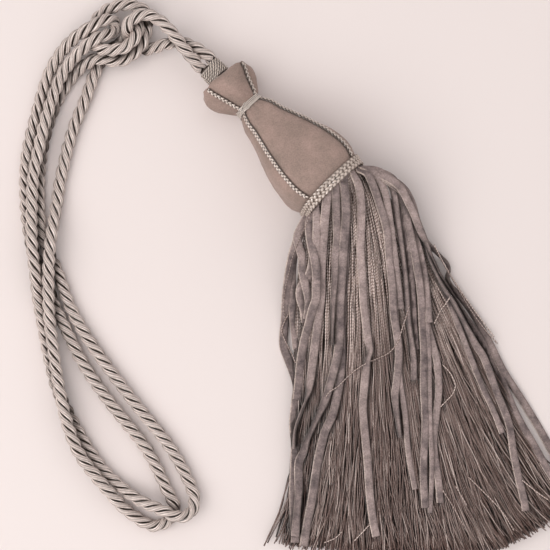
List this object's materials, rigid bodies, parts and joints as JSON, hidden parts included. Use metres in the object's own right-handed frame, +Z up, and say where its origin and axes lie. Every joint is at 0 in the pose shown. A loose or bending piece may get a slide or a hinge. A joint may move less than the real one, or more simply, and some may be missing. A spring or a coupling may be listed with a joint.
{
  "type": "curtain tieback tassel",
  "caption": "Curtain tieback: a knotted twisted cord with hook loops, a suede bell with braided seams, and a skirt of yarn and flat ribbon, lying flat.",
  "frame": {"origin": "the point of the table below the widest place of the bell, on the flat it rests on", "axes": "+Z up from the table, -Y the way the skirt's strands fall, +X to the right of them, seen from above"},
  "size_m": [0.3305, 0.3323, 0.0497],
  "materials": {
    "suede": "napped suede",
    "braid": "glossy plaited viscose",
    "fine_cord": "glossy wound viscose",
    "rope": "satin twisted viscose",
    "yarn": "glossy spun yarn",
    "ribbon": "soft suede tape"
  },
  "bodies": {
    "root": {"bell": "suede", "seam_braid_1": "braid", "seam_braid_2": "braid", "seam_braid_3": "braid", "seam_braid_4": "braid", "waist_cord": "fine_cord", "base_band": "braid", "whipping": "fine_cord", "rope": "rope", "yarn_skirt": "yarn", "ribbon_skirt": "ribbon"}
  },
  "joints": []
}
